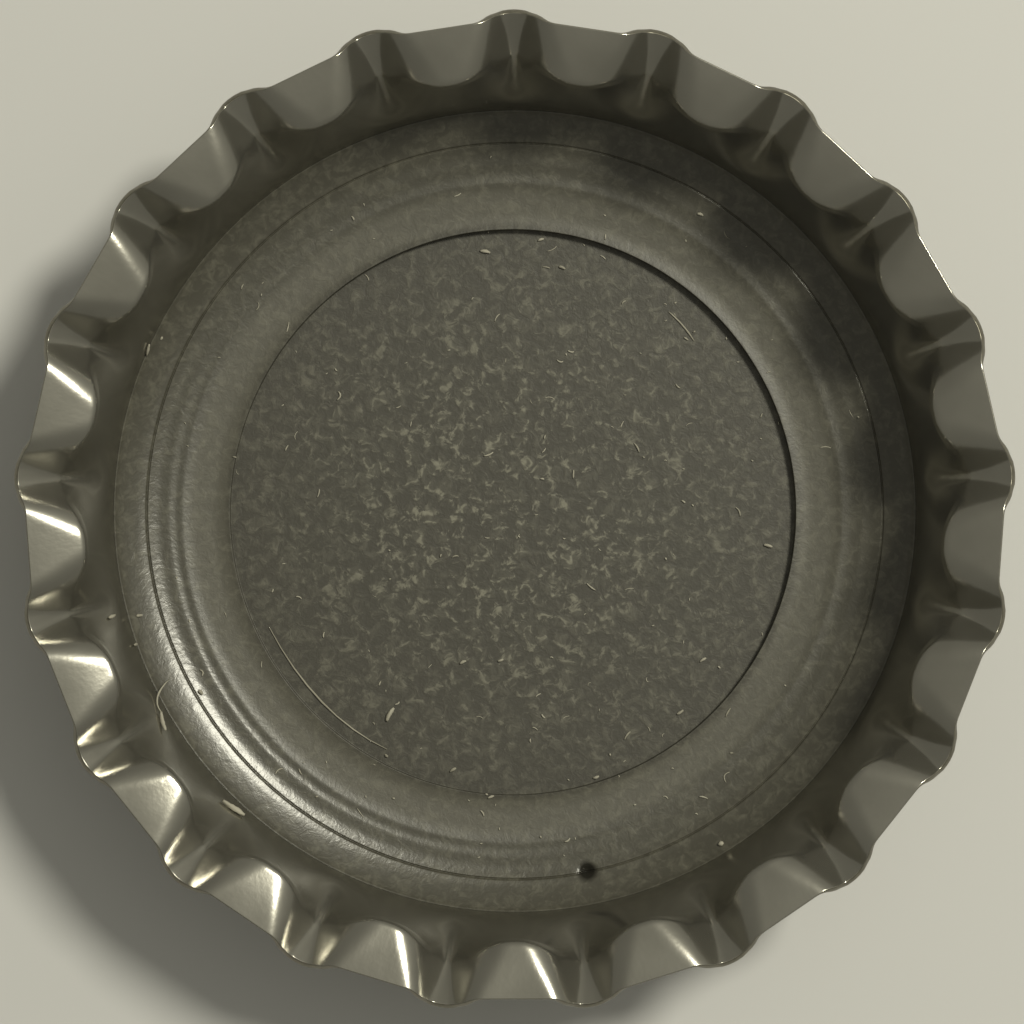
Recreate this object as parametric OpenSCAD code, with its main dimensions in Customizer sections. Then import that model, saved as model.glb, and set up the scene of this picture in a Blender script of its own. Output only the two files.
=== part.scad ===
// Crown cap for a 26 mm bottle finish, lying on its panel with the mouth up:
// a pressed tinplate shell with a fluted skirt, and the sealing liner moulded inside it.

/* [Shell] */
// Diameter over the tips of the teeth
tip_d = 32.3; // [31.9:0.1:32.6]
// Diameter over the lips between the teeth
lip_d = 31.3; // [30.9:0.1:31.6]
// Height from the panel to the lips
cap_h = 6; // [5.8:0.1:6.6]
// Thickness of the tinplate
sheet = 0.23; // [0.18:0.01:0.26]
// Inside diameter of the wall at its foot, where the corner ends
mouth_d = 26.55; // [26.3:0.05:26.9]
// Inside radius of the corner between panel and wall
corner_r = 1.55; // [1.3:0.05:1.7]
// Lean of the wall from the axis, in degrees
wall_lean = 7.5; // [6:0.5:9]
// Height of the plain wall between the corner and the flutes
band_h = 0.4; // [0.2:0.05:0.6]

/* [Flutes] */
// Number of teeth
teeth = 21; // [19:1:24]
// How far the tips of the teeth lie below the lips
tip_drop = 0.5; // [0.3:0.05:0.6]
// Radius of the bend where a tooth leaves the wall
root_r = 2.3; // [1.8:0.1:2.6]
// Lean of a tooth above its root bend, in degrees
tooth_root_lean = 39; // [36:1:42]
// Lean of a tooth at its tip, in degrees
tooth_tip_lean = 52; // [49:1:55]
// Radius of the knee where the wall turns out into a lip
knee_r = 0.3; // [0.28:0.02:0.4]
// Lean of a lip next to its knee, in degrees
lip_knee_lean = 72.5; // [70:0.5:76]
// Lean of a lip at its edge, in degrees
lip_edge_lean = 80; // [77:1:84]
// Flat half width of a lip at its knee, as a share of the pitch
knee_share = 0.03; // [0:0.01:0.08]
// Flat half width of a lip at the rim, as a share of the pitch
lip_share = 0.225; // [0.18:0.005:0.25]
// Half width of a tooth's round bottom at the rim, as a share of the pitch
channel_share = 0.07; // [0.04:0.01:0.12]
// Half width of a tooth in the outline, as a share of the pitch
tooth_share = 0.25; // [0.22:0.005:0.3]
// Share of a flank's width over which it rises out of the tooth in a curve
flank_foot = 0.1; // [0.05:0.01:0.15]
// Share of a flank's width over which it levels out into the lip in a curve
flank_shoulder = 0.82; // [0.7:0.01:0.84]
// The same two shares in the outline of the rim: at the tip of a tooth
tip_round = 0.65; // [0.5:0.01:0.65]
// At the end of a lip
lip_round = 0.35; // [0.25:0.01:0.35]

/* [Liner] */
// Diameter of the thin centre
centre_d = 18.86; // [18:0.02:19.2]
// Thickness of the thin centre
centre_t = 0.25; // [0.15:0.01:0.3]
// Thickness of the flat land round the centre
land_t = 0.47; // [0.44:0.01:0.5]
// Height of the land's round inner edge above it
crest_h = 0.025; // [0:0.005:0.04]
// Diameter of the bead at the outside of the land
bead_d = 22.3; // [22.2:0.02:22.4]
// Height of the bead above the land
bead_h = 0.085; // [0.075:0.005:0.1]
// Thickness of the liner in the narrow channel outside the bead
moat_t = 0.53; // [0.5:0.005:0.535]
// Diameter of the thin ring outside the channel
ring_d = 23.2; // [23.1:0.02:23.3]
// Height of the ring above the flat band outside it
ring_h = 0.01; // [0.005:0.005:0.03]
// Diameter at which the flat band turns up into the gentle slope
slope_d = 23.9; // [23.76:0.02:24.04]
// Thickness of the liner where the gentle slope begins
slope_t = 0.61; // [0.59:0.01:0.63]
// Rise of the gentle slope, in degrees
slope_rise = 18; // [15:0.5:20]
// Diameter of the fine groove in the gentle slope
groove_d = 24.52; // [24.4:0.02:24.7]
// Width of the fine groove
groove_w = 0.1; // [0.06:0.01:0.14]
// Diameter at which the slope turns up to the wall
flank_d = 25.2; // [25.1:0.02:25.4]
// Thickness of the liner where it meets the wall
flank_t = 1.22; // [1.18:0.01:1.24]
// Gap between the side of the liner and the corner of the shell
side_gap = 0.02; // [0.02:0.01:0.04]

/* [Hidden] */
$fn = 96;

// the shell's section: inside radius and height of the corner's centre, of the wall's foot
// and of the line where the flutes begin
panel_r = mouth_d / 2 - corner_r * cos(wall_lean);
corner_z = sheet + corner_r;
foot_z = corner_z - corner_r * sin(wall_lean);
flute_r = mouth_d / 2 + band_h * tan(wall_lean);
flute_z = foot_z + band_h;
wall_w = sheet / cos(wall_lean);

// inside ends of the two meridians: down the middle of a tooth and down the middle of a lip
tip_r = tip_d / 2 - sheet * cos(tooth_tip_lean);
tip_z = cap_h - tip_drop;
lip_r = lip_d / 2 - sheet * cos(lip_edge_lean);
pitch = 360 / teeth;

// mean of the sine and of the cosine of a lean that turns evenly from a to b
function mean_out(a, b) = (cos(a) - cos(b)) / (b - a) * 180 / PI;
function mean_up(a, b) = (sin(b) - sin(a)) / (b - a) * 180 / PI;

// a meridian goes straight on from the wall, round a bend of radius q to lean a, then turns
// evenly to lean b and ends at r, z: its three lengths follow from those
function bend_len(q, a) = q * (a - wall_lean) * PI / 180;
function left_out(r, q, a) = r - flute_r - bend_len(q, a) * mean_out(wall_lean, a);
function left_up(z, q, a) = z - flute_z - bend_len(q, a) * mean_up(wall_lean, a);
function turn(a, b) = cos(wall_lean) * mean_out(a, b) - sin(wall_lean) * mean_up(a, b);
function blade_len(r, z, q, a, b) =
    (left_out(r, q, a) * cos(wall_lean) - left_up(z, q, a) * sin(wall_lean)) / turn(a, b);
function rise_len(r, z, q, a, b) =
    (left_up(z, q, a) * mean_out(a, b) - left_out(r, q, a) * mean_up(a, b)) / turn(a, b);

tooth_rise = rise_len(tip_r, tip_z, root_r, tooth_root_lean, tooth_tip_lean);
tooth_bend = bend_len(root_r, tooth_root_lean);
tooth_blade = blade_len(tip_r, tip_z, root_r, tooth_root_lean, tooth_tip_lean);
lip_rise = rise_len(lip_r, cap_h, knee_r, lip_knee_lean, lip_edge_lean);
lip_bend = bend_len(knee_r, lip_knee_lean);
lip_blade = blade_len(lip_r, cap_h, knee_r, lip_knee_lean, lip_edge_lean);
tooth_len = tooth_rise + tooth_bend + tooth_blade;
lip_len = lip_rise + lip_bend + lip_blade;

// point [r, z] after a path of length s that turns evenly from lean a to lean b over length n
function swept(s, n, a, b) =
    let(t = min(max(s, 0), n), e = a + (b - a) * t / n)
    e - a < 0.001
        ? [t * sin(a), t * cos(a)]
        : t * [mean_out(a, e), mean_up(a, e)];
function tooth_at(u) =
    let(s = u * tooth_len)
    [flute_r, flute_z]
    + min(s, tooth_rise) * [sin(wall_lean), cos(wall_lean)]
    + swept(s - tooth_rise, tooth_bend, wall_lean, tooth_root_lean)
    + swept(s - tooth_rise - tooth_bend, tooth_blade, tooth_root_lean, tooth_tip_lean);
function lip_at(u) =
    let(s = u * lip_len)
    [flute_r, flute_z]
    + min(s, lip_rise) * [sin(wall_lean), cos(wall_lean)]
    + swept(s - lip_rise, lip_bend, wall_lean, lip_knee_lean)
    + swept(s - lip_rise - lip_bend, lip_blade, lip_knee_lean, lip_edge_lean);

// a flank from 0 to 1 with a round foot over the share p and a round shoulder over the share q
function unit(t) = min(max(t, 0), 1);
function flank_raw(t, p, q) =
    t < p ? t * t / (2 * p) : t < 1 - q ? t - p / 2 : 1 - p / 2 - q / 2 - pow(1 - t, 2) / (2 * q);
function flank(t, p, q) = flank_raw(unit(t), p, q) / (1 - p / 2 - q / 2);

// a point of the skirt's inside at angle g and share u of the way from the wall to the rim:
// the section passes from tooth to lip along a flank that narrows towards the rim, and each
// lip is straight in the outline
knee_u = (lip_rise + lip_bend / 2) / lip_len;
function skirt_at(g, u) =
    let(
        x = abs((g / pitch + 0.5 + 4 * teeth) % 1 - 0.5),
        k = unit((u - knee_u) / (1 - knee_u)),
        lip_from = 0.5 - knee_share - (lip_share - knee_share) * k,
        tooth_to = channel_share * k,
        up = flank((x - tooth_to) / (lip_from - tooth_to), flank_foot, flank_shoulder),
        edge = flank(x / tooth_share, tip_round, lip_round),
        out = up + (edge - up) * k,
        straight = 1 + (1 / cos((x - 0.5) * pitch) - 1) * unit(u / knee_u),
        a = tooth_at(u),
        b = lip_at(u),
        r = a[0] + (b[0] * straight - a[0]) * out,
        z = a[1] + (b[1] - a[1]) * up
    )
    [r * cos(g), r * sin(g), z];

// outward direction square to the sheet
function side_of(g, u) =
    let(
        lo = max(u - 0.002, 0),
        hi = min(u + 0.002, 1),
        n = cross(skirt_at(g + 0.1, u) - skirt_at(g - 0.1, u), skirt_at(g, hi) - skirt_at(g, lo))
    )
    n / norm(n);

// angles across one tooth and shares up the skirt at which its facets meet
half = [0.05, 0.11, 0.17, 0.23, 0.3, 0.39];
across = concat([0], half, [0.5], [for (i = [len(half) - 1:-1:0]) 1 - half[i]]);
knee_a = lip_rise / lip_len;
knee_b = (lip_rise + lip_bend) / lip_len;
up_to_knee = [for (f = [0, 0.2, 0.45, 0.72]) f * knee_a];
past_knee = [knee_a, knee_u, knee_b, (1 + knee_b) / 2, 1];
stations = concat(up_to_knee, past_knee);
angles = [for (i = [0:teeth - 1]) for (x = across) (i + x) * pitch];
cols = len(angles);
rows = len(stations);

// the foot of the skirt sinks 0.1 mm into the plain wall, just inside its two faces
sunk = 0.1;
shy = 0.01;
function inner_foot(g, d) =
    let(r = flute_r - d * tan(wall_lean) + shy)
    [r * cos(g), r * sin(g), flute_z - d];
function outer_foot(g, d) =
    let(r = flute_r - d * tan(wall_lean) + wall_w - shy)
    [r * cos(g), r * sin(g), flute_z - d];
inside = [
    for (g = angles)
        concat(
            [inner_foot(g, sunk), inner_foot(g, 0)],
            [for (j = [1:rows - 1]) skirt_at(g, stations[j])]
        )
];
outside = [
    for (g = angles)
        concat(
            [outer_foot(g, sunk), outer_foot(g, 0)],
            [for (j = [1:rows - 1]) skirt_at(g, stations[j]) + sheet * side_of(g, stations[j])]
        )
];
high = rows + 1;
skirt_points = concat([for (c = inside) for (p = c) p], [for (c = outside) for (p = c) p]);
function spot(c, j, face) = ((c % cols) + face * cols) * high + j;
// two facets of each patch, divided the same way on the left and on the right of every tooth
function patch(a, b, c, d, left) = left ? [[a, b, c], [a, c, d]] : [[a, b, d], [b, c, d]];
skirt_facets = [
    for (i = [0:cols - 1])
        let(left = i % len(across) < len(across) / 2)
        for (j = [0:high - 2])
            for (f = patch(spot(i, j, 0), spot(i, j + 1, 0), spot(i + 1, j + 1, 0),
                    spot(i + 1, j, 0), left))
                [f[2], f[1], f[0]],
    for (i = [0:cols - 1])
        let(left = i % len(across) < len(across) / 2)
        for (j = [0:high - 2])
            for (f = patch(spot(i, j, 1), spot(i, j + 1, 1), spot(i + 1, j + 1, 1),
                    spot(i + 1, j, 1), left))
                f,
    for (i = [0:cols - 1])
        for (f = patch(spot(i, high - 1, 1), spot(i, high - 1, 0), spot(i + 1, high - 1, 0),
                spot(i + 1, high - 1, 1), true))
            f,
    for (i = [0:cols - 1])
        for (f = patch(spot(i, 0, 0), spot(i, 0, 1), spot(i + 1, 0, 1), spot(i + 1, 0, 0), true))
            f
];

// pressed and fluted in one blow from a single disc of tinplate
module crown_shell() {
    color("silver") {
        panel_and_wall();
        skirt();
    }
}

// the plain part of the pressing: flat panel, round corner and the foot of the wall
module panel_and_wall() {
    rotate_extrude() {
        square([panel_r, sheet]);
        corner_section();
        wall_section();
    }
}

module corner_section() {
    intersection() {
        difference() {
            translate([panel_r, corner_z]) circle(r = corner_r + sheet);
            translate([panel_r, corner_z]) circle(r = corner_r);
        }
        polygon([
            [panel_r, corner_z],
            [panel_r, -1],
            [panel_r + 3 * corner_r, -1],
            [panel_r + 3 * corner_r * cos(wall_lean), corner_z - 3 * corner_r * sin(wall_lean)]
        ]);
    }
}

module wall_section() {
    polygon([
        [mouth_d / 2, foot_z],
        [mouth_d / 2 + sheet * cos(wall_lean), foot_z - sheet * sin(wall_lean)],
        [flute_r + wall_w, flute_z],
        [flute_r, flute_z]
    ]);
}

// the fluted skirt: a lip and a tooth in turn, in one sheet of even thickness
module skirt() {
    polyhedron(points = skirt_points, faces = skirt_facets, convexity = 8);
}

// soft polymer moulded in place: thin centre, flat land, bead, channel, ring, flat band, and a
// gentle slope with a fine groove that turns up to the wall
module sealing_liner() {
    color("dimgray")
    rotate_extrude()
        intersection() {
            union() {
                square([panel_r, corner_z]);
                translate([panel_r, corner_z]) circle(r = corner_r - side_gap);
            }
            liner_section();
        }
}

// heights of the liner's levels above the table
centre_z = sheet + centre_t;
land_z = sheet + land_t;
moat_z = sheet + moat_t;
slope_z = sheet + slope_t;
flank_z = sheet + flank_t;

// half widths of the moulded forms: the step round the centre, the bead, the ring, and the
// ramp that leads up to the bead; and the radii of the round crest and bead
step_w = 0.05;
bead_w = 0.1;
ring_w = 0.06;
ramp_w = 0.4;
crest_r = 0.14;

// the groove is as deep as it is wide, below the straight line of the slope
function slope_at(r) = slope_z + (r - slope_d / 2) * tan(slope_rise);

module liner_section() {
    difference() {
        union() {
            liner_body();
            translate([centre_d / 2 + step_w + crest_r, land_z + crest_h - crest_r])
                circle(r = crest_r);
            translate([bead_d / 2, land_z + bead_h - bead_w]) circle(r = bead_w);
            translate([ring_d / 2, slope_z + ring_h - ring_w]) circle(r = ring_w);
        }
        translate([groove_d / 2, slope_at(groove_d / 2)]) circle(d = groove_w);
    }
}

module liner_body() {
    polygon([
        [0, sheet],
        [0, centre_z],
        [centre_d / 2 - step_w, centre_z],
        [centre_d / 2 + step_w, land_z],
        [bead_d / 2 - bead_w - ramp_w, land_z],
        [bead_d / 2 - bead_w / 2, land_z + bead_h - bead_w / 7],
        [bead_d / 2 + bead_w / 2, moat_z],
        [ring_d / 2 - 4 * ring_w, moat_z],
        [ring_d / 2, slope_z - ring_h],
        [slope_d / 2, slope_z],
        [flank_d / 2, slope_at(flank_d / 2)],
        [panel_r + corner_r, flank_z],
        [panel_r + corner_r, sheet]
    ]);
}

crown_shell();
sealing_liner();
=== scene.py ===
import bpy
import numpy as np
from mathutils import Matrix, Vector


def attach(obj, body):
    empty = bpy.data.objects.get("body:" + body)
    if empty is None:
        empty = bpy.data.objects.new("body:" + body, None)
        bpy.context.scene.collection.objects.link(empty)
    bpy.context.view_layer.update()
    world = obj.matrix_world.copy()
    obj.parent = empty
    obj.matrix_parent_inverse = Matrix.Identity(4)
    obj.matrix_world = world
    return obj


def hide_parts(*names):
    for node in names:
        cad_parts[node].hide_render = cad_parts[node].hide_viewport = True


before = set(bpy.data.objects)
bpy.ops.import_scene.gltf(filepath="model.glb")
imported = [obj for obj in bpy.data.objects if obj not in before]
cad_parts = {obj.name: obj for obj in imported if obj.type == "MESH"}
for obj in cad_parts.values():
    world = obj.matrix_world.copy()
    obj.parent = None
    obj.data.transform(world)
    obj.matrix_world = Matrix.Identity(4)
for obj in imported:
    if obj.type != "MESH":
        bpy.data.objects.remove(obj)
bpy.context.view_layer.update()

# --- Crown shell ---------------------------------------------------------------------------
# The metal of the cap: one disc of lacquered tinplate, pressed into a cup and fluted in the
# same blow, so lips and teeth are one sheet of even thickness. Its cut edge is the rim.
# It carries the liner on the inside of its flat panel and stands on the outside of it.

# lengths are in millimetres, and become metres in the meshes; leans are from the cap's axis
millimetre = 0.001
sheet = 0.23
cap_height = 6.0
tip_radius = 16.15
lip_radius = 15.65
mouth_radius = 13.275
corner_radius = 1.55
band_height = 0.4
wall_lean = np.radians(7.5)

# of the shares, those of the knee, lip, channel and tooth are half widths as parts of the
# pitch, and the last four are the parts of a flank that are rounded at its foot and at its
# shoulder, up the sheet and in the outline
teeth = 21
tip_drop = 0.5
root_bend = 2.3
tooth_root_lean, tooth_tip_lean = np.radians([39.0, 52.0])
knee_bend = 0.3
lip_knee_lean, lip_edge_lean = np.radians([72.5, 80.0])
knee_share, lip_share = 0.03, 0.225
channel_share, tooth_share = 0.07, 0.25
flank_foot, flank_shoulder = 0.1, 0.82
tip_round, lip_round = 0.65, 0.35

pitch = 2 * np.pi / teeth
panel_radius = mouth_radius - corner_radius * np.cos(wall_lean)
corner_height = sheet + corner_radius
foot_height = corner_height - corner_radius * np.sin(wall_lean)
flute_start = np.array([mouth_radius + band_height * np.tan(wall_lean), foot_height + band_height])
wall_way = np.array([np.sin(wall_lean), np.cos(wall_lean)])


def turning(length, start, end, way):
    """Radius and height gained after way along a bend whose lean turns evenly from start to
    end over length: the integrals of the lean's sine and cosine."""
    way = np.clip(way, 0, length)
    lean = start + (end - start) * way / length
    scale = length / (end - start)
    gained = [np.cos(start) - np.cos(lean), np.sin(lean) - np.sin(start)]
    return scale * np.stack(gained, axis=-1)


def meridian(share, end, bend, root_lean, end_lean):
    """Radius and height at shares of a line up the skirt: straight on from the wall, round a
    bend of given radius to root_lean, then turning evenly to end_lean at the point end. The
    straight and the turning length are what makes the line meet that point. The share at the
    middle of the bend is given as well."""
    bend_length = bend * (root_lean - wall_lean)
    bent = turning(bend_length, wall_lean, root_lean, bend_length)
    unit_blade = turning(1.0, root_lean, end_lean, 1.0)
    rise, blade = np.linalg.solve(np.stack([wall_way, unit_blade], 1), end - flute_start - bent)
    way = share * (rise + bend_length + blade)
    line = flute_start + np.minimum(way, rise)[:, None] * wall_way
    line = line + turning(bend_length, wall_lean, root_lean, way - rise)
    line = line + turning(blade, root_lean, end_lean, way - rise - bend_length)
    knee = (rise + bend_length / 2) / (rise + bend_length + blade)
    return line, knee


def flank(share, foot, shoulder):
    """A slope from 0 to 1 that starts with a parabola over the share foot and ends with one
    over the share shoulder, straight between."""
    t = np.clip(share, 0, 1)
    low = t**2 / (2 * foot)
    middle = t - foot / 2
    high = 1 - foot / 2 - shoulder / 2 - (1 - t) ** 2 / (2 * shoulder)
    slope = np.where(t < foot, low, np.where(t < 1 - shoulder, middle, high))
    return slope / (1 - foot / 2 - shoulder / 2)


def skirt(angle, share):
    """Inside of the skirt as a grid over share of the way up and angle round the cap. Each
    level passes from the tooth's line to the lip's line along a flank that narrows towards
    the rim. A lip is straight across, so its radius grows with one over the cosine."""
    tip = [tip_radius - sheet * np.cos(tooth_tip_lean), cap_height - tip_drop]
    lip = [lip_radius - sheet * np.cos(lip_edge_lean), cap_height]
    tooth_line, _ = meridian(share, tip, root_bend, tooth_root_lean, tooth_tip_lean)
    lip_line, knee = meridian(share, lip, knee_bend, lip_knee_lean, lip_edge_lean)
    x = np.abs((angle / pitch + 0.5) % 1 - 0.5)[None, :]
    above = np.clip((share - knee) / (1 - knee), 0, 1)[:, None]
    below = np.clip(share / knee, 0, 1)[:, None]
    lip_from = 0.5 - knee_share - (lip_share - knee_share) * above
    tooth_to = channel_share * above
    up = flank((x - tooth_to) / (lip_from - tooth_to), flank_foot, flank_shoulder)
    out = up + (flank(x / tooth_share, tip_round, lip_round) - up) * above
    straight = 1 + (1 / np.cos((x - 0.5) * pitch) - 1) * below
    radius = tooth_line[:, :1] * (1 - out) + lip_line[:, :1] * straight * out
    height = tooth_line[:, 1:] * (1 - up) + lip_line[:, 1:] * up
    return np.stack([radius * np.cos(angle), radius * np.sin(angle), height], -1)


def corner_arc(bend, turn):
    """Radius and height of an arc round the centre of the corner's section: bend times the
    cosine of the turn outwards and bend times its sine upwards."""
    return [panel_radius, corner_height] + bend * np.stack([np.cos(turn), np.sin(turn)], -1)


def ringed(line, angle):
    """A line of radius and height turned round the axis to a grid of points: across is the
    radius times the angle's cosine and sine, and the height stays."""
    radius, height = line[:, :1], line[:, 1:]
    return np.stack([radius * np.cos(angle), radius * np.sin(angle), height + 0 * angle], -1)


def unit(vectors):
    """Vectors divided by their lengths."""
    return vectors / np.linalg.norm(vectors, axis=-1, keepdims=True)


def ring_faces(rows, columns):
    """Faces that close a stack of rings: four-sided ones between each ring and the next, and
    fans of triangles to two poles, whose numbers follow those of the rings' points."""
    start = np.arange(rows * columns).reshape(rows, columns)
    near, far = start, np.roll(start, -1, axis=1)
    quads = np.stack([near[:-1], near[1:], far[1:], far[:-1]], -1).reshape(-1, 4)
    pole = np.full(columns, rows * columns)
    first_fan = np.stack([pole, near[0], far[0]], -1)
    last_fan = np.stack([pole + 1, far[-1], near[-1]], -1)
    return quads, np.concatenate([first_fan, last_fan])


def smooth_piece(name, points, quads, fans):
    """A piece with these points, taken from millimetres to metres, and these faces, shaded as
    one smooth surface."""
    mesh = bpy.data.meshes.new(name)
    mesh.from_pydata(points * millimetre, [], quads.tolist() + fans.tolist())
    mesh.polygons.foreach_set("use_smooth", np.ones(len(mesh.polygons), bool))
    piece = bpy.data.objects.new(name, mesh)
    bpy.context.scene.collection.objects.link(piece)
    return piece


# the levels up the skirt lie closest round the knee of the lips and above it
tooth_steps, corner_steps = 32, 14
around = np.arange(teeth * tooth_steps) * pitch / tooth_steps
up_share = np.concatenate([np.linspace(0.05, 0.6, 18), np.linspace(0.615, 0.99, 30), [0.996, 1]])
floor_line = [[3.0, sheet], [9.0, sheet], [panel_radius - 0.1, sheet]]
corner_line = corner_arc(corner_radius, np.linspace(-np.pi / 2, -wall_lean, corner_steps))
plain_inside = ringed(np.concatenate([floor_line, corner_line]), around)
inside = np.concatenate([plain_inside, skirt(around, up_share)])

# the outside lies one sheet thickness away, square to the inside
across = np.roll(inside, -1, 1) - np.roll(inside, 1, 1)
square_out = unit(np.cross(across, np.gradient(inside, axis=0)))
outside = inside + sheet * square_out

# the cut edge bulges a little, as half an ellipse, where the shear rolled it over
edge_bulge = 0.03
edge_share = np.array([0.12, 0.3, 0.5, 0.7, 0.88])[:, None, None]
edge_swell = edge_bulge * np.sqrt(edge_share * (1 - edge_share))
edge = inside[-1] + sheet * edge_share * square_out[-1] + edge_swell * unit(inside[-1] - inside[-2])

shell_rings = np.concatenate([inside, edge, outside[::-1]])
poles = [[0, 0, sheet], [0, 0, 0]]
shell_points = np.concatenate([shell_rings.reshape(-1, 3), poles])
shell = smooth_piece("shell_sheet", shell_points, *ring_faces(*shell_rings.shape[:2]))
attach(shell, "root")
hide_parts("crown_shell")


def hex_colour(text):
    """An sRGB hex colour as linear red, green, blue and alpha: a straight line under 0.04045
    and a power of 2.4 above."""
    value = np.array([int(text[i : i + 2], 16) for i in (1, 3, 5)]) / 255
    linear = np.where(value <= 0.04045, value / 12.92, ((value + 0.055) / 1.055) ** 2.4)
    return (*linear, 1.0)


def add(tree, kind, inputs=None, **settings):
    """Adds a node, gives it its settings, and fills its inputs: an output is linked, and
    anything else is set."""
    node = tree.nodes.new(kind)
    for key, value in settings.items():
        setattr(node, key, value)
    for key, value in (inputs or {}).items():
        if isinstance(value, bpy.types.NodeSocket):
            tree.links.new(value, node.inputs[key])
        else:
            node.inputs[key].default_value = value
    return node


def finish_of(name, shader_inputs):
    """A new material of one Principled surface, with its node tree and that surface's node."""
    material = bpy.data.materials.new(name)
    material.use_nodes = True
    tree = material.node_tree
    tree.nodes.clear()
    shader = add(tree, "ShaderNodeBsdfPrincipled", shader_inputs)
    output = add(tree, "ShaderNodeOutputMaterial")
    tree.links.new(shader.outputs["BSDF"], output.inputs["Surface"])
    return material, tree, shader


def millimetres(tree):
    """The object's own coordinates in millimetres, as a node output."""
    place = add(tree, "ShaderNodeTexCoord")
    metres = place.outputs["Object"]
    scaled = add(
        tree, "ShaderNodeVectorMath", {0: metres, "Scale": 1 / millimetre}, operation="SCALE"
    )
    return scaled.outputs["Vector"]


# Tinplate is steel with a thin bright coat of tin. Under its lacquer it gives a grey mirror,
# blurred by the rolled grain of the sheet and a little hazy. The wall carries faint lines up
# and down where it was drawn through the die.
tinplate, tree, metal = finish_of("lacquered_tinplate", {"Metallic": 0.91})
spot = millimetres(tree)
# the lacquer is uneven in clouds of 2.2 mm, and the grain is 0.14 mm wide and up to 0.0025 mm
# deep; grain and lines are finer on the real sheet, and drawn coarser here so that they show
clouds_per_mm, grains_per_mm, grain_depth = 0.45, 7.0, 0.0025
cloud = add(tree, "ShaderNodeTexNoise", {"Vector": spot, "Scale": clouds_per_mm, "Detail": 3.0})
grain = add(tree, "ShaderNodeTexNoise", {"Vector": spot, "Scale": grains_per_mm, "Detail": 2.0})
# the drawn lines depend on the way round alone: 5 to the millimetre where the radius is 14 mm
drawn_radius, lines_per_mm = 14.0, 5.0
flat = add(tree, "ShaderNodeVectorMath", {0: spot, 1: (1, 1, 0)}, operation="MULTIPLY")
aim = add(tree, "ShaderNodeVectorMath", {0: flat.outputs["Vector"]}, operation="NORMALIZE")
line_place = add(
    tree,
    "ShaderNodeVectorMath",
    {0: aim.outputs["Vector"], "Scale": drawn_radius},
    operation="SCALE",
)
lines = add(
    tree,
    "ShaderNodeTexNoise",
    {"Vector": line_place.outputs["Vector"], "Scale": lines_per_mm, "Detail": 1.0},
)
lacquer = add(
    tree,
    "ShaderNodeMix",
    {"Factor": cloud.outputs["Fac"], 6: hex_colour("#94928A"), 7: hex_colour("#ADABA3")},
    data_type="RGBA",
)
tree.links.new(lacquer.outputs[2], metal.inputs["Base Color"])
# roughness 0.13 where the lacquer is clear, and up to 0.14 more in its clouds
haze = add(
    tree, "ShaderNodeMath", {0: cloud.outputs["Fac"], 1: 0.14, 2: 0.13}, operation="MULTIPLY_ADD"
)
tree.links.new(haze.outputs[0], metal.inputs["Roughness"])
# the lines are half as deep as the grain
relief = add(
    tree,
    "ShaderNodeMath",
    {0: lines.outputs["Fac"], 1: 0.5, 2: grain.outputs["Fac"]},
    operation="MULTIPLY_ADD",
)
dimples = add(
    tree,
    "ShaderNodeBump",
    {"Strength": 1.0, "Distance": grain_depth * millimetre, "Height": relief.outputs[0]},
)
tree.links.new(dimples.outputs["Normal"], metal.inputs["Normal"])
shell.data.materials.append(tinplate)

# The cut edge is bare steel that sheared and tore: darker than the coated faces, and matt,
# with a tear every 0.11 mm, which is coarser than the real ones so that they show.
bare_edge, tree, metal = finish_of("sheared_steel_edge", {"Metallic": 1.0})
spot = millimetres(tree)
tears_per_mm = 9.0
torn = add(tree, "ShaderNodeTexNoise", {"Vector": spot, "Scale": tears_per_mm, "Detail": 2.0})
steel = add(
    tree,
    "ShaderNodeMix",
    {"Factor": torn.outputs["Fac"], 6: hex_colour("#605D54"), 7: hex_colour("#949083")},
    data_type="RGBA",
)
tree.links.new(steel.outputs[2], metal.inputs["Base Color"])
# roughness 0.23, and up to 0.3 more where it is torn
rough = add(
    tree, "ShaderNodeMath", {0: torn.outputs["Fac"], 1: 0.3, 2: 0.23}, operation="MULTIPLY_ADD"
)
tree.links.new(rough.outputs[0], metal.inputs["Roughness"])
shell.data.materials.append(bare_edge)

# the bare steel lies between the last ring of the inside and the first of the outside
rows, columns = shell_rings.shape[:2]
bare_rows = np.zeros((rows - 1, columns), int)
bare_rows[len(inside) - 1 : len(inside) + len(edge)] = 1
fan_finish = np.zeros(2 * columns, int)
face_finish = np.concatenate([bare_rows.ravel(), fan_finish])
shell.data.polygons.foreach_set("material_index", face_finish)

# --- Sealing liner -------------------------------------------------------------------------
# Soft sealing compound, dropped into the shell and stamped to shape while hot: a thin centre,
# a land for the bottle's lip, a bead, a thin ring and a slope with a fine groove up to the
# wall. It sticks to the lacquer of the panel.

centre_height, crest_height, step_radius = 0.42, 0.75, 9.46
groove_radius, groove_depth, groove_width = 12.262, 0.05, 0.028
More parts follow.
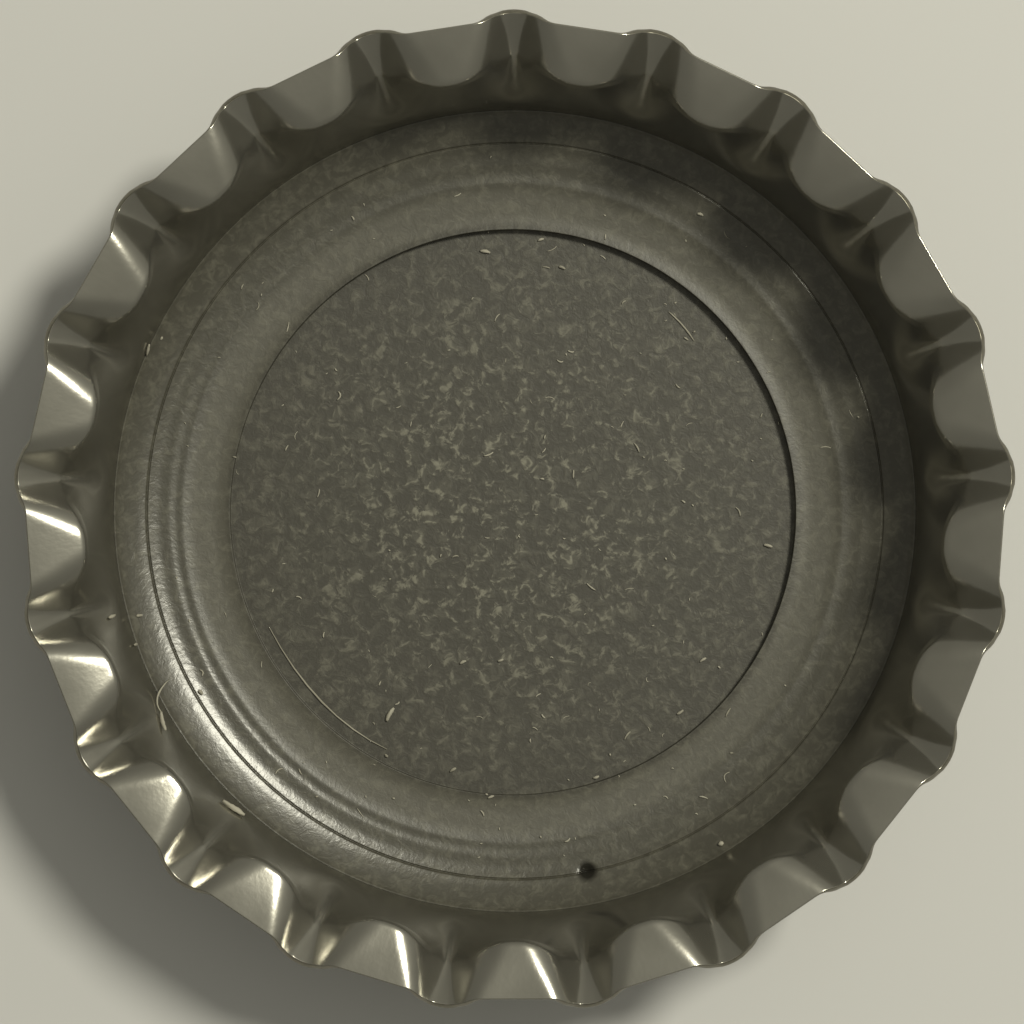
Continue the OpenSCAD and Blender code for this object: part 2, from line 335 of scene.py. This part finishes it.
# slope of the moulded face against radius, from the step's sharp edge to the wall: a worn
# crest, the land, the bead, a channel, the ring, a flat band, and a slope that steepens
liner_slope = np.array(
    [
        [9.46, 0.0], [9.5, -0.2], [9.62, -0.18], [9.8, -0.08], [9.92, -0.01], [10.02, 0.05],
        [10.15, 0.08], [10.4, 0.09], [10.52, 0.10], [10.65, 0.15], [10.78, 0.23], [10.88, 0.27],
        [10.96, 0.24], [11.05, 0.05], [11.11, 0.02], [11.18, 0.04], [11.25, 0.09], [11.33, 0.17],
        [11.41, 0.21], [11.51, 0.21], [11.6, 0.12], [11.66, 0.1], [11.78, 0.13], [11.86, 0.19],
        [11.96, 0.28], [12.06, 0.37], [12.2, 0.40], [12.41, 0.40], [12.5, 0.48], [12.58, 0.54],
        [12.7, 0.59], [12.85, 0.63], [13.0, 0.7], [13.13, 0.8], [13.2, 0.95], [13.25, 1.15],
    ]
)
# the rings lie close together only where the form is fine: the bead, the ring and the groove
ring_number, ring_radius = np.array(
    [
        [0, step_radius], [1, step_radius + 0.012], [24, 10.6], [102, 12.0], [107, 12.16],
        [127, 12.36], [152, 13.1], [162, 13.25],
    ]
).T
top_radius = np.interp(np.arange(ring_number[-1] + 1), ring_number, ring_radius)
# its height is the sum of its slope, less a narrow notch for the groove
top_slope = np.interp(top_radius, *liner_slope.T)
top_rise = (top_slope[1:] + top_slope[:-1]) / 2 * np.diff(top_radius)
top_height = crest_height + np.concatenate([[0], np.cumsum(top_rise)])
top_height -= groove_depth * np.exp(-(((top_radius - groove_radius) / groove_width) ** 2))
# inside the land lie the thin disc and the steep side of the step
disc_radius = np.array([0.05, 3.0, 6.0, 9.0, 9.38, 9.425, 9.435])[:, None]
disc_line = disc_radius * [1, 0] + [0, centre_height]
step_line = [[9.44, centre_height + 0.01], [9.448, 0.6], [9.455, crest_height - 0.01]]
# the face ends in a feather edge on the wall, with a ring close by so that it shades sharp
side_gap, edge_rise, edge_width = 0.0005, 0.015, 0.003
side_bend = corner_radius - side_gap
edge_turn = np.arcsin((corner_height - (top_height[-1] + edge_rise)) / side_bend)
liner_side = corner_arc(side_bend, np.linspace(-edge_turn, -np.pi / 2, corner_steps))
near_edge = liner_side[:1] - edge_width
moulded_line = np.stack([top_radius, top_height], 1)
liner_top = np.concatenate([disc_line, step_line, moulded_line, near_edge])
underside = [[panel_radius - 0.05, sheet], [5.0, sheet]]
liner_line = np.concatenate([liner_top, liner_side, underside])
liner_steps = 480
liner_around = np.arange(liner_steps) * 2 * np.pi / liner_steps
liner_rings = ringed(liner_line, liner_around)
on_top = (np.arange(len(liner_line)) < len(liner_top))[:, None]

# the stamp sat a tenth of a millimetre off centre, which moves its step and its bead
stamp_turn = np.radians(210)
off_centre = np.interp(liner_line[:, :1], [3.0, 9.0, 11.05, 11.5], [0.0, 0.065, 0.12, 0.0])
liner_rings[..., 0] += off_centre * on_top * np.cos(stamp_turn)
liner_rings[..., 1] += off_centre * on_top * np.sin(stamp_turn)

# a pit in the slope, across the groove: a bell-shaped hollow
pit_turn, pit_radius = np.radians(277.0), 12.23
pit_across, pit_along, pit_depth = 0.15, 0.17, 0.2
past_pit = pit_radius * ((liner_around - pit_turn + np.pi) % (2 * np.pi) - np.pi)
above_pit = liner_line[:, :1] - pit_radius
pit = np.exp(-((above_pit / pit_across) ** 2) - (past_pit / pit_along) ** 2)
liner_rings[..., 2] -= pit_depth * on_top * pit

poles = [[0, 0, centre_height], [0, 0, sheet]]
liner_points = np.concatenate([liner_rings.reshape(-1, 3), poles])
liner = smooth_piece("liner_moulding", liner_points, *ring_faces(*liner_rings.shape[:2]))
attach(liner, "root")
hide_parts("sealing_liner")

# Moulded sealing compound gives a dark grey satin. Its thin centre keeps a dull film of
# release agent with pale specks and crumbs in it. The land is cleaner and lighter, and the
# slopes outside the bead are darker and glossier, where the stamp polished them. The pit is
# darkened with painted shade.
compound, tree, rubber = finish_of("liner_compound", {})
spot = millimetres(tree)
flat = add(tree, "ShaderNodeVectorMath", {0: spot, 1: (1, 1, 0)}, operation="MULTIPLY")
outward = add(tree, "ShaderNodeVectorMath", {0: flat.outputs["Vector"]}, operation="LENGTH")
# the radii between which each zone begins: the land, the dark slopes, and their polish
land, slopes, polish = [
    add(
        tree,
        "ShaderNodeMapRange",
        {"Value": outward.outputs["Value"], "From Min": inner, "From Max": outer},
    ).outputs[0]
    for inner, outer in ((9.5, 9.7), (10.7, 11.0), (10.6, 11.6))
]
# specks of 0.15 mm and crumbs of 0.4 mm, which stand up to 0.005 and 0.013 mm
specks_per_mm, crumbs_per_mm = 6.5, 2.6
speck_depth, crumb_depth = 0.005, 0.013
speck = add(
    tree,
    "ShaderNodeTexNoise",
    {"Vector": spot, "Scale": specks_per_mm, "Detail": 1.0, "Distortion": 0.6},
)
crumb = add(
    tree,
    "ShaderNodeTexNoise",
    {
        "Vector": spot,
        "Scale": crumbs_per_mm,
        "Detail": 4.0,
        "Roughness": 0.7,
        "Distortion": 0.6,
    },
)
mottle = add(
    tree,
    "ShaderNodeMapRange",
    {"Value": crumb.outputs["Fac"], "From Min": 0.45, "From Max": 0.75, "To Max": 0.3},
)
# bent flecks a tenth of a millimetre across and some 0.6 mm apart: the lines along which one
# noise is even, kept where another is high, and thickest on the middle of the disc
flecks_per_mm = 1.7
wander = add(
    tree,
    "ShaderNodeTexNoise",
    {"Vector": spot, "Scale": flecks_per_mm, "Detail": 1.0, "Distortion": 0.5},
)
uneven = add(tree, "ShaderNodeMath", {0: wander.outputs["Fac"], 1: 0.5}, operation="SUBTRACT")
uneven = add(tree, "ShaderNodeMath", {0: uneven.outputs[0]}, operation="ABSOLUTE")
strokes = add(
    tree,
    "ShaderNodeMapRange",
    {
        "Value": uneven.outputs[0],
        "From Min": 0.025,
        "From Max": 0.075,
        "To Min": 0.65,
        "To Max": 0.0,
    },
)
broken = add(
    tree,
    "ShaderNodeMapRange",
    {"Value": crumb.outputs["Fac"], "From Min": 0.5, "From Max": 0.6},
)
spread = add(
    tree,
    "ShaderNodeMapRange",
    {
        "Value": outward.outputs["Value"],
        "From Min": 3.0,
        "From Max": 9.4,
        "To Min": 1.0,
        "To Max": 0.1,
    },
)
flecks = add(
    tree, "ShaderNodeMath", {0: strokes.outputs[0], 1: broken.outputs[0]}, operation="MULTIPLY"
)
flecks = add(
    tree, "ShaderNodeMath", {0: flecks.outputs[0], 1: spread.outputs[0]}, operation="MULTIPLY"
)
pale = add(
    tree, "ShaderNodeMath", {0: mottle.outputs[0], 1: flecks.outputs[0]}, operation="ADD"
)
# painted shade darkens the pit, and its gloss is dulled too; both fade out from 0.22 to 0.4 mm
# of its middle
pit_place = (pit_radius * np.cos(pit_turn), pit_radius * np.sin(pit_turn), 0)
from_pit = add(
    tree, "ShaderNodeVectorMath", {0: flat.outputs["Vector"], 1: pit_place}, operation="DISTANCE"
)
painted_pit_shade = add(
    tree,
    "ShaderNodeMapRange",
    {
        "Value": from_pit.outputs["Value"],
        "From Min": 0.22,
        "From Max": 0.4,
        "To Min": 1.0,
        "To Max": 0.0,
    },
)
# the colours lie one over the other on that of the thin centre
tone = hex_colour("#3A3831")
layers = (
    (land, "#4F4D45"),
    (slopes, "#413F37"),
    (pale.outputs[0], "#7C7A6D"),
    # the near black over the pit is painted shade
    (painted_pit_shade.outputs[0], "#24231F"),
)
for cover, colour in layers:
    covered = add(
        tree,
        "ShaderNodeMix",
        {"Factor": cover, 6: tone, 7: hex_colour(colour)},
        data_type="RGBA",
    )
    tone = covered.outputs[2]
tree.links.new(tone, rubber.inputs["Base Color"])
# specular level 0.65, and 0.16 more on the slopes, but a tenth of that in the pit
gloss = add(tree, "ShaderNodeMath", {0: slopes, 1: 0.16, 2: 0.65}, operation="MULTIPLY_ADD")
dulled = add(
    tree, "ShaderNodeMath", {0: painted_pit_shade.outputs[0], 1: -0.9, 2: 1.0}, operation="MULTIPLY_ADD"
)
gloss = add(
    tree, "ShaderNodeMath", {0: gloss.outputs[0], 1: dulled.outputs[0]}, operation="MULTIPLY"
)
tree.links.new(gloss.outputs[0], rubber.inputs["Specular IOR Level"])
# roughness 0.49, and 0.18 less where it is polished
satin = add(tree, "ShaderNodeMath", {0: polish, 1: -0.18, 2: 0.49}, operation="MULTIPLY_ADD")
tree.links.new(satin.outputs[0], rubber.inputs["Roughness"])
swells = add(
    tree,
    "ShaderNodeBump",
    {"Strength": 1.0, "Distance": crumb_depth * millimetre, "Height": crumb.outputs["Fac"]},
)
dimples = add(
    tree,
    "ShaderNodeBump",
    {
        "Strength": 1.0,
        "Distance": speck_depth * millimetre,
        "Height": speck.outputs["Fac"],
        "Normal": swells.outputs["Normal"],
    },
)
tree.links.new(dimples.outputs["Normal"], rubber.inputs["Normal"])
liner.data.materials.append(compound)

# --- Lint and crumbs -----------------------------------------------------------------------
# Paper and cotton fibres and crumbs of compound that fell into the open cap. They lie loose
# on the liner and cling to the wall, held by nothing but their own weight and static.

# start, middle and end of each of the larger ones, and its half thickness
big = np.array(
    [
        [-8.50, -3.24, 0.45, -6.93, -5.88, 0.45, -4.88, -7.62, 0.45, 0.03],
        [8.23, -1.77, 0.46, 8.37, -1.80, 0.47, 8.50, -1.86, 0.46, 0.055],
        [-0.49, 8.77, 0.46, -0.32, 8.75, 0.47, -0.16, 8.68, 0.46, 0.06],
        [-4.81, -6.68, 0.46, -4.70, -6.45, 0.48, -4.54, -6.26, 0.46, 0.075],
        [-2.83, -8.54, 0.45, -2.73, -8.47, 0.46, -2.62, -8.43, 0.45, 0.05],
        [-2.22, -4.96, 0.45, -2.12, -4.90, 0.46, -2.01, -4.88, 0.45, 0.05],
        [-0.95, -4.96, 0.45, -0.86, -4.95, 0.46, -0.77, -4.91, 0.45, 0.045],
        [1.93, -9.11, 0.45, 2.03, -9.10, 0.46, 2.13, -9.06, 0.45, 0.05],
        [4.89, -7.19, 0.45, 5.00, -7.15, 0.46, 5.11, -7.07, 0.45, 0.05],
        [5.80, -5.51, 0.45, 5.90, -5.44, 0.46, 6.01, -5.40, 0.45, 0.045],
        [-1.63, -9.49, 0.77, -1.52, -9.45, 0.77, -1.42, -9.43, 0.77, 0.04],
        [2.10, 8.04, 0.45, 2.20, 8.02, 0.46, 2.30, 7.95, 0.45, 0.05],
        [1.47, 8.96, 0.45, 1.56, 9.00, 0.46, 1.67, 9.01, 0.45, 0.045],
        [6.83, 9.42, 0.83, 6.93, 9.40, 0.84, 7.02, 9.34, 0.83, 0.05],
        [5.66, 6.25, 0.44, 6.10, 5.74, 0.45, 6.42, 5.22, 0.44, 0.03],
        [-10.26, -8.73, 3.08, -9.93, -9.03, 2.84, -9.63, -9.28, 2.72, 0.09],
        [-11.88, -4.69, 1.30, -12.22, -5.20, 2.30, -12.10, -5.69, 2.70, 0.03],
        [-12.10, -5.69, 2.70, -12.06, -5.97, 2.90, -11.95, -6.27, 3.20, 0.065],
        [-13.48, -2.45, 3.50, -13.41, -2.43, 3.33, -13.32, -2.39, 3.14, 0.06],
        [-12.79, -2.51, 1.40, -12.70, -2.50, 1.35, -12.60, -2.50, 1.28, 0.055],
        [-12.84, -3.44, 2.30, -12.82, -3.43, 2.15, -12.78, -3.42, 2.00, 0.05],
        [-11.62, 6.42, 2.05, -11.70, 6.24, 1.90, -11.76, 6.07, 1.74, 0.045],
        [-11.29, 6.57, 1.41, -11.25, 6.62, 1.41, -11.22, 6.67, 1.40, 0.04],
        [5.89, -11.56, 1.36, 5.98, -11.53, 1.38, 6.06, -11.50, 1.37, 0.08],
        [-10.96, -5.14, 0.94, -10.90, -5.21, 0.96, -10.84, -5.29, 0.92, 0.07],
        [-4.96, -7.78, 0.45, -4.92, -7.83, 0.46, -4.87, -7.88, 0.45, 0.045],
    ]
)
big_ends, big_radius = big[:, :9].reshape(-1, 3, 3), big[:, 9]


def bed_under(places):
    """Height of the liner's face under places, read off its line at their distance from the
    axis."""
    return np.interp(np.hypot(places[..., 0], places[..., 1]), liner_top[:, 0], liner_top[:, 1])


# none sinks into the liner: each point keeps most of its thickness above it
least_height = bed_under(big_ends) + 0.6 * big_radius[:, None]
big_ends[..., 2] = np.maximum(big_ends[..., 2], least_height)

# small ones, strewn over the liner as far as its flat band: 0.08 to 0.4 mm long and mostly
# short, with both ends swung to one side by a random share of the length
strew = np.random.default_rng(7)
small_count, strewn_radius, swing = 170, 11.9, 0.3
from_axis = strewn_radius * np.sqrt(strew.random(small_count))
to_side, lie = strew.random((2, small_count)) * 2 * np.pi
half_length = 0.04 + 0.16 * strew.random(small_count) ** 3
small_radius = 0.012 + 0.02 * strew.random(small_count)
middle = np.stack([from_axis * np.cos(to_side), from_axis * np.sin(to_side)], -1)
reach = half_length[:, None] * np.stack([np.cos(lie), np.sin(lie)], -1)
curl = reach[:, ::-1] * [-swing, swing] * strew.normal(size=(small_count, 1))
small = np.stack([middle - reach + curl, middle, middle + reach + curl], 1)
small_height = bed_under(small) + small_radius[:, None]
small_ends = np.concatenate([small, small_height[..., None]], -1)

strand_rings, strand_sides = 9, 8
# the swelling as a part of the thickness, and in radians how far its waves twist along a
# strand and how far they are turned from the strand before
swelling, twist_along, twist_between = 0.35, 7, 2.4


def tapered_strands(ends, radius):
    """Closed tubes, each along the parabola through its start, middle and end, half as thick
    at its ends as in its middle, with three waves of swelling round it that twist along it
    and start elsewhere on each."""
    share = np.linspace(0, 1, strand_rings)[None, :, None]
    line = (
        ends[:, :1] * (1 - share) * (1 - 2 * share)
        + ends[:, 1:2] * 4 * share * (1 - share)
        + ends[:, 2:] * share * (2 * share - 1)
    )
    along = np.gradient(line, axis=1)
    across = unit(np.cross(along, [0, 0, 1]))
    upward = unit(np.cross(across, along))
    turn = (np.arange(strand_sides) * 2 * np.pi / strand_sides)[:, None]
    girth = (radius[:, None, None] * (0.5 + 0.5 * np.sin(np.pi * share)))[:, :, None]
    strand = np.arange(len(ends))[:, None, None, None]
    twist = strand * twist_between + twist_along * share[:, :, None]
    girth = girth * (1 + swelling * np.cos(3 * turn + twist) * np.cos(2 * twist))
    rings = line[:, :, None] + girth * (
        np.cos(turn) * across[:, :, None] + np.sin(turn) * upward[:, :, None]
    )
    points = np.concatenate([rings.reshape(len(ends), -1, 3), line[:, :1], line[:, -1:]], 1)
    quads, fans = ring_faces(strand_rings, strand_sides)
    shift = np.arange(len(ends))[:, None, None] * points.shape[1]
    return points.reshape(-1, 3), (quads + shift).reshape(-1, 4), (fans + shift).reshape(-1, 3)


all_ends = np.concatenate([big_ends, small_ends])
all_radius = np.concatenate([big_radius, small_radius])
lint = smooth_piece("lint", *tapered_strands(all_ends, all_radius))
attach(lint, "root")

# Loose paper fibres and crumbs are matt and pale, and some are greyed by dust: the grey comes
# and goes over 1.7 mm, so most are of one colour and differ from their neighbours.
fluff, tree, fibre = finish_of("paper_lint", {"Roughness": 0.8})
spot = millimetres(tree)
dust_per_mm = 0.6
dust = add(tree, "ShaderNodeTexNoise", {"Vector": spot, "Scale": dust_per_mm, "Detail": 1.0})
shade = add(
    tree,
    "ShaderNodeMix",
    {"Factor": dust.outputs["Fac"], 6: hex_colour("#6A675B"), 7: hex_colour("#BDB9AB")},
    data_type="RGBA",
)
tree.links.new(shade.outputs[2], fibre.inputs["Base Color"])
lint.data.materials.append(fluff)

# --- Table, light and camera ---------------------------------------------------------------
# The cap lies mouth up on a sheet of pale paper in a dim room, under one round lamp that
# stands high on its right. The camera looks straight down on it.

bpy.ops.mesh.primitive_plane_add(size=2)
table = bpy.context.object
table.name = "table"
# uncoated paper is matt and even
paper, _, _ = finish_of("pale_paper", {"Base Color": hex_colour("#C9C9C9"), "Roughness": 0.9})
table.data.materials.append(paper)

world = bpy.data.worlds.new("room")
bpy.context.scene.world = world
world.use_nodes = True
tree = world.node_tree
room = tree.nodes["Background"]
room_colour, lamp_colour = (0.5, 0.486, 0.405, 1), (1.0, 0.97, 0.81)
room.inputs["Color"].default_value = room_colour
# the lamp's distance is in metres, and its spread is half the angle that it fills
lamp_turn, lamp_height, lamp_spread = np.radians([34.1, 54.0, 6.5])
lamp_distance = 0.3
lamp_way = Vector(
    (
        np.cos(lamp_height) * np.cos(lamp_turn),
        np.cos(lamp_height) * np.sin(lamp_turn),
        np.sin(lamp_height),
    )
)
# the room is dim, and brighter the nearer a direction is to the lamp's
room_level, glow_level, glow_power = 0.43, 0.58, 4.0
way = add(tree, "ShaderNodeTexCoord")
near = add(
    tree,
    "ShaderNodeVectorMath",
    {0: way.outputs["Generated"], 1: lamp_way},
    operation="DOT_PRODUCT",
)
facing = add(tree, "ShaderNodeMath", {0: near.outputs["Value"], 1: 0.0}, operation="MAXIMUM")
glow = add(tree, "ShaderNodeMath", {0: facing.outputs[0], 1: glow_power}, operation="POWER")
level = add(
    tree,
    "ShaderNodeMath",
    {0: glow.outputs[0], 1: glow_level, 2: room_level},
    operation="MULTIPLY_ADD",
)
tree.links.new(level.outputs[0], room.inputs["Strength"])

lamp = bpy.data.lights.new("lamp", "AREA")
lamp.shape = "DISK"
lamp.size = 2 * lamp_distance * np.tan(lamp_spread)
lamp.energy = 0.71
lamp.color = lamp_colour
lamp_object = bpy.data.objects.new("lamp", lamp)
lamp_object.location = lamp_way * lamp_distance
lamp_object.rotation_euler = lamp_way.to_track_quat("Z", "Y").to_euler()
bpy.context.scene.collection.objects.link(lamp_object)

# the eye is 120 mm above the rim, where a pixel is 0.032 mm, and the cap's axis falls a little
# to the right of the middle of the picture and above it, here in pixels
picture, pixel = 1024, 0.032
axis_across, axis_down = 514.8, 511.1
eye_height, picture_turn = 120, np.radians(-4.4)
camera = bpy.data.cameras.new("camera")
camera.sensor_width = 36
camera.lens = camera.sensor_width * eye_height / (picture * pixel)
camera.shift_x = (picture / 2 - axis_across) / picture
camera.shift_y = (axis_down - picture / 2) / picture
camera.clip_start = 0.001
camera_object = bpy.data.objects.new("camera", camera)
camera_object.location = (0, 0, millimetre * (cap_height + eye_height))
camera_object.rotation_euler = (0, 0, picture_turn)
bpy.context.scene.collection.objects.link(camera_object)
bpy.context.scene.camera = camera_object
bpy.context.scene.view_settings.view_transform = "Standard"
